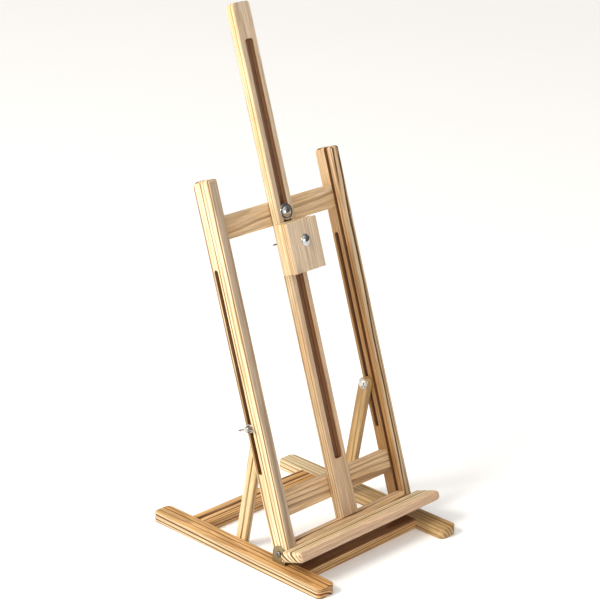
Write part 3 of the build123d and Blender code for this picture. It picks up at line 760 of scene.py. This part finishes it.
# ---- fit the hardware to the CAD's places
NEARLY_ACROSS = ACROSS + UP * 0.01  # never quite along a bolt's axis


def fit_washer(node, joint, diameter, seat_at_low=True):
    """A detailed washer in the place of a CAD one. Its rolled edge faces away from the wood."""
    point, axis = axis_line(joint)
    low, high = span(node, axis)
    thickness = (high - low) / MM
    mesh = ring_washer(diameter, WASHER_BORE, thickness)
    if seat_at_low:
        placed(mesh, on_line(point, axis, low), axis, NEARLY_ACROSS)
    else:
        placed(mesh, on_line(point, axis, high), -axis, NEARLY_ACROSS)
    add_piece(node + "_fine", mesh, CHROME, body_of(node), [node])


def fit_bolt(node, joint, head_diameter, head_height):
    """A detailed carriage bolt in the place of a CAD one."""
    point, axis = axis_line(joint)
    low, high = span(node, axis)
    seat = low + head_height * MM
    length = (high - seat) / MM
    mesh = carriage_bolt_mesh(head_diameter, head_height, length, min(24.0, length * 0.6))
    placed(mesh, on_line(point, axis, seat), axis, NEARLY_ACROSS)
    add_piece(node + "_fine", mesh, CHROME, body_of(node), [node])


def fit_wing_nut(node, joint, wings_along):
    """A detailed wing nut in the place of a CAD one."""
    point, axis = axis_line(joint)
    low, _ = span(node, axis)
    mesh = wing_nut_mesh(13.6, 12.3, 6.0, 5.0, 4.0, NUT_BORE)
    placed(mesh, on_line(point, axis, low), axis, wings_along)
    add_piece(node + "_fine", mesh, NUT_METAL, body_of(node), [node], 50)


fit_bolt("mast_clamp_bolt", "clamp_nut_spin", BOLT_HEAD_DIAMETER, BOLT_HEAD_HEIGHT)
fit_washer("mast_clamp_front_washer", "clamp_nut_spin", CLAMP_WASHER, seat_at_low=False)
fit_washer("mast_clamp_back_washer", "clamp_nut_spin", BACK_WASHER)
fit_wing_nut("mast_clamp_wing_nut", "clamp_nut_spin", ACROSS)
fit_bolt("holder_bolt", "holder_nut_spin", BOLT_HEAD_DIAMETER, BOLT_HEAD_HEIGHT)
fit_washer("holder_front_washer", "holder_nut_spin", HOLDER_WASHER, seat_at_low=False)
fit_washer("holder_back_washer", "holder_nut_spin", BACK_WASHER)
fit_wing_nut("holder_wing_nut", "holder_nut_spin", ACROSS)
for side in ("left", "right"):
    spin = side + "_nut_spin"
    point, axis = axis_line(spin)
    low, high = span(side + "_slot_stud", axis)
    stud = threaded_rod(BOLT_RADIUS, 0, (high - low) / MM, 1.0)
    placed(stud, on_line(point, axis, low), axis, POST_BACK)
    add_piece(side + "_slot_stud_fine", stud, CHROME, side + "_slot", [side + "_slot_stud"])
    fit_washer(side + "_slot_washer", spin, SLOT_WASHER)
    fit_washer(side + "_brace_washer", spin, BRACE_WASHER, seat_at_low=False)
    fit_wing_nut(side + "_brace_wing_nut", spin, POST_BACK)
    low, high = span(side + "_brace_bolt", axis)
    neck_length = (high - low) / MM - BRACE_HEAD_HEIGHT
    neck = threaded_rod(BOLT_RADIUS, 0, neck_length, UNTHREADED)
    head = joined([dome(BRACE_HEAD_DIAMETER, BRACE_HEAD_HEIGHT), neck])
    placed(head, on_line(point, axis, low + BRACE_HEAD_HEIGHT * MM), axis, POST_BACK)
    add_piece(side + "_brace_bolt_fine", head, CHROME, side + "_brace", [side + "_brace_bolt"])


# ---- screws that show
def screw_pieces(node, mesh_maker, places):
    """Detailed screws in the place of a CAD group: places are (seat, direction) pairs."""
    parts = []
    for seat, direction in places:
        parts.append(placed(mesh_maker(), seat, direction, POST_BACK + UP * 0.3))
    add_piece(node + "_fine", joined(parts), SCREW_STEEL, body_of(node), [node])


def outer_places(node, joint, head_height):
    """Seats of a left and right pair of screws whose heads face away from the middle."""
    point = Vector(joints[joint]["pos_m"])
    low, high = span(node, ACROSS)
    left = Vector((low + head_height, point.y, point.z))
    right = Vector((high - head_height, point.y, point.z))
    return [(left, ACROSS), (right, -ACROSS)]


screw_pieces(
    "hinge_screws", lambda: pan_head_screw(PIVOT_DIAMETER, PIVOT_HEAD_DIAMETER, 13.6),
    outer_places("hinge_screws", "frame_tilt", PIVOT_HEAD_DIAMETER * PAN_HEAD_RATIO * MM))
foot_point = Vector(joints["left_brace_swing"]["pos_m"])
brace_inner = -span("left_brace", ACROSS)[1]
foot_seat = brace_inner - 0.3 * MM
screw_pieces(
    "brace_foot_screws", lambda: pan_head_screw(PIVOT_DIAMETER, PIVOT_HEAD_DIAMETER, 29.5),
    [(Vector((-foot_seat, foot_point.y, foot_point.z)), -ACROSS),
     (Vector((foot_seat, foot_point.y, foot_point.z)), ACROSS)])

screw_low, screw_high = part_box("bracket_screws")
half_head = 2.8 * MM
screw_places = []
for x in (screw_low.x + half_head, screw_high.x - half_head):
    for y in (screw_low.y + half_head, screw_high.y - half_head):
        screw_places.append((Vector((x, y, screw_high.z)), -UP))
screw_pieces("bracket_screws", lambda: flat_head_screw(3.0, 5.6, 12.0), screw_places)
for node in ("ledge_screws", "mast_screws"):
    wear(node, SCREW_STEEL)


# ---- hinge brackets: stamped sheet, folded with a round bend
def bracket_mesh(node, side):
    """The folded bracket of one side, from its flat outline with holes."""
    low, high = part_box(node)
    pivot = Vector(joints["frame_tilt"]["pos_m"])
    width = (high.y - low.y) / MM
    thick = BRACKET_THICKNESS
    bend = BRACKET_BEND
    rise = (high.z - low.z) / MM
    run = (high.x - low.x) / MM
    pivot_up = (pivot.z - low.z) / MM
    curve = bpy.data.curves.new("outline", "CURVE")
    curve.dimensions = "2D"
    curve.fill_mode = "BOTH"
    curve.extrude = (thick / 2 - 0.18) * MM
    curve.bevel_depth = 0.18 * MM
    curve.bevel_resolution = 1
    arc_length = math.pi / 2 * (bend - thick / 2)
    cheek = rise - bend
    foot = run - bend
    half = width / 2 - 0.18

    def add_loop(points):
        spline = curve.splines.new("POLY")
        spline.points.add(len(points) - 1)
        for spot, (x, y) in zip(spline.points, points):
            spot.co = (x * MM, y * MM, 0, 1)
        spline.use_cyclic_u = True

    # flat pattern: x across the width, y from the cheek's top (positive) to the foot's toe
    crown_centre = cheek - width / 2
    outline = []
    for step in range(25):
        angle = math.pi * step / 24
        outline.append((half * math.cos(angle), crown_centre + half * math.sin(angle)))
    toe = -(arc_length + foot) + 0.18
    corner = BRACKET_TOE_RADIUS
    for start, cx in ((180, -half + corner), (270, half - corner)):
        for step in range(9):
            angle = math.radians(start + 90 * step / 8)
            outline.append((cx + corner * math.cos(angle), toe + corner + corner * math.sin(angle)))
    add_loop(outline)
    pivot_height = pivot_up - bend
    hole = 2.7
    holes = [(0.0, pivot_height, hole)]
    screw_x = abs(screw_low.x + half_head) / MM
    outer_x = max(abs(low.x), abs(high.x)) / MM
    along_foot = -(arc_length + (outer_x - screw_x - bend))
    for offset in (-width / 4, width / 4):
        holes.append((offset, along_foot, 2.85))
    for cx, cy, radius in holes:
        turns = [-2 * math.pi * step / 28 for step in range(28)]
        add_loop([(cx + radius * math.cos(turn), cy + radius * math.sin(turn)) for turn in turns])
    flat = bpy.data.objects.new("flat", curve)
    bpy.context.scene.collection.objects.link(flat)
    mesh = evaluated(flat)
    builder = bmesh.new()
    builder.from_mesh(mesh)
    bmesh.ops.remove_doubles(builder, verts=builder.verts, dist=1e-6)
    for step in range(9):
        cut = -arc_length * step / 8 * MM
        everything = builder.verts[:] + builder.edges[:] + builder.faces[:]
        bmesh.ops.bisect_plane(builder, geom=everything, plane_co=(0, cut, 0), plane_no=(0, 1, 0))
    neutral = bend - thick / 2
    for v in builder.verts:
        x, y, z = v.co / MM
        if y >= 0:
            out, up = z, y + bend
        elif y > -arc_length:
            angle = -y / neutral
            out = neutral - (neutral - z) * math.cos(angle)
            up = bend - (neutral - z) * math.sin(angle)
        else:
            out = -y - arc_length + neutral
            up = bend - (neutral - z)
        v.co = Vector((-(out + thick / 2) * MM, x * MM, up * MM))
    bmesh.ops.recalc_face_normals(builder, faces=builder.faces)
    builder.to_mesh(mesh)
    builder.free()
    mesh.transform(Matrix.Translation((outer_x * MM, pivot.y, low.z)))
    if side == "left":
        mesh.transform(Matrix.Diagonal((-1, 1, 1, 1)))
        mesh.flip_normals()
    return mesh


for side in ("left", "right"):
    node = side + "_hinge_bracket"
    add_piece(node + "_fine", bracket_mesh(node, side), ZINC, "base", [node], 35)

# ---- floor, light and camera
FLOOR_SHADE = (0.955, 0.955, 0.955)
floor_mesh = bpy.data.meshes.new("floor")
reach = 60.0
floor_mesh.from_pydata(
    [(-reach, -reach, 0), (reach, -reach, 0), (reach, reach, 0), (-reach, reach, 0)], [], [(0, 1, 2, 3)])
floor = bpy.data.objects.new("floor", floor_mesh)
bpy.context.scene.collection.objects.link(floor)
floor_shader = Shader("floor_paint")
floor_shader.link(
    floor_shader.mix(floor_shader.noise(floor_shader.place(), scale=3.0), FLOOR_SHADE, (0.97, 0.97, 0.97)),
    floor_shader.principled.inputs["Base Color"])
floor_shader.principled.inputs["Roughness"].default_value = 0.9
floor_shader.principled.inputs["Emission Color"].default_value = (1, 1, 1, 1)
floor_shader.principled.inputs["Emission Strength"].default_value = 0.05
floor_mesh.materials.append(floor_shader.material)

world = bpy.data.worlds.new("studio")
world.use_nodes = True
sky = world.node_tree
heading = sky.nodes.new("ShaderNodeTexCoord").outputs["Generated"]
toward_key = sky.nodes.new("ShaderNodeVectorMath")
toward_key.operation = "DOT_PRODUCT"
toward_key.inputs[1].default_value = Vector((-0.76, 0.22, 0.62)).normalized()
sky.links.new(heading, toward_key.inputs[0])
glow = sky.nodes.new("ShaderNodeValToRGB")
glow_stops = [
    (0.0, (0.075, 0.074, 0.078)), (0.42, (0.155, 0.155, 0.165)),
    (0.62, (0.56, 0.56, 0.58)), (0.85, (1.30, 1.25, 1.17))]
while len(glow.color_ramp.elements) < len(glow_stops):
    glow.color_ramp.elements.new(0.5)
for element, (place, shade) in zip(glow.color_ramp.elements, glow_stops):
    element.position = place
    element.color = (*shade, 1)
half = sky.nodes.new("ShaderNodeMath")
half.operation = "MULTIPLY_ADD"
half.inputs[1].default_value = 0.5
half.inputs[2].default_value = 0.5
sky.links.new(toward_key.outputs["Value"], half.inputs[0])
sky.links.new(half.outputs[0], glow.inputs[0])
sky.links.new(glow.outputs[0], sky.nodes["Background"].inputs["Color"])
sky.nodes["Background"].inputs["Strength"].default_value = 1.0
bpy.context.scene.world = world
bpy.context.scene.view_settings.view_transform = "Standard"


def lamp(name, place, target, size, power, colour=(1, 1, 1)):
    """A square soft light that shines from place to target."""
    light = bpy.data.lights.new(name, "AREA")
    light.size = size
    light.energy = power
    light.color = colour
    holder = bpy.data.objects.new(name, light)
    holder.location = place
    holder.rotation_euler = (Vector(target) - Vector(place)).to_track_quat("-Z", "Y").to_euler()
    bpy.context.scene.collection.objects.link(holder)


lamp("key", (-2.6, 0.5, 2.2), (0, 0, 0.3), 1.0, 85, (1.0, 0.97, 0.90))
lamp("fill", (-0.6, -2.8, 1.4), (0, 0, 0.3), 1.6, 14, (0.93, 0.96, 1.0))

CAMERA_PLACE = Vector((-2.1316, cad_box[0].y - 1.7013, 1.4223))
CAMERA_YAW = math.radians(48.42)
CAMERA_PITCH = math.radians(-20.83)
CAMERA_ROLL = math.radians(2.8)
forward = Vector((
    math.sin(CAMERA_YAW) * math.cos(CAMERA_PITCH),
    math.cos(CAMERA_YAW) * math.cos(CAMERA_PITCH),
    math.sin(CAMERA_PITCH)))
level = Vector((math.cos(CAMERA_YAW), -math.sin(CAMERA_YAW), 0))
upright = level.cross(forward)
camera_x = level * math.cos(CAMERA_ROLL) + upright * math.sin(CAMERA_ROLL)
camera_y = upright * math.cos(CAMERA_ROLL) - level * math.sin(CAMERA_ROLL)
camera_data = bpy.data.cameras.new("camera")
camera_data.angle = math.radians(15.47)
camera_data.clip_end = 200
camera = bpy.data.objects.new("camera", camera_data)
camera_turn = Matrix((camera_x, camera_y, -forward)).transposed().to_4x4()
camera.matrix_world = Matrix.Translation(CAMERA_PLACE) @ camera_turn
bpy.context.scene.collection.objects.link(camera)
bpy.context.scene.camera = camera
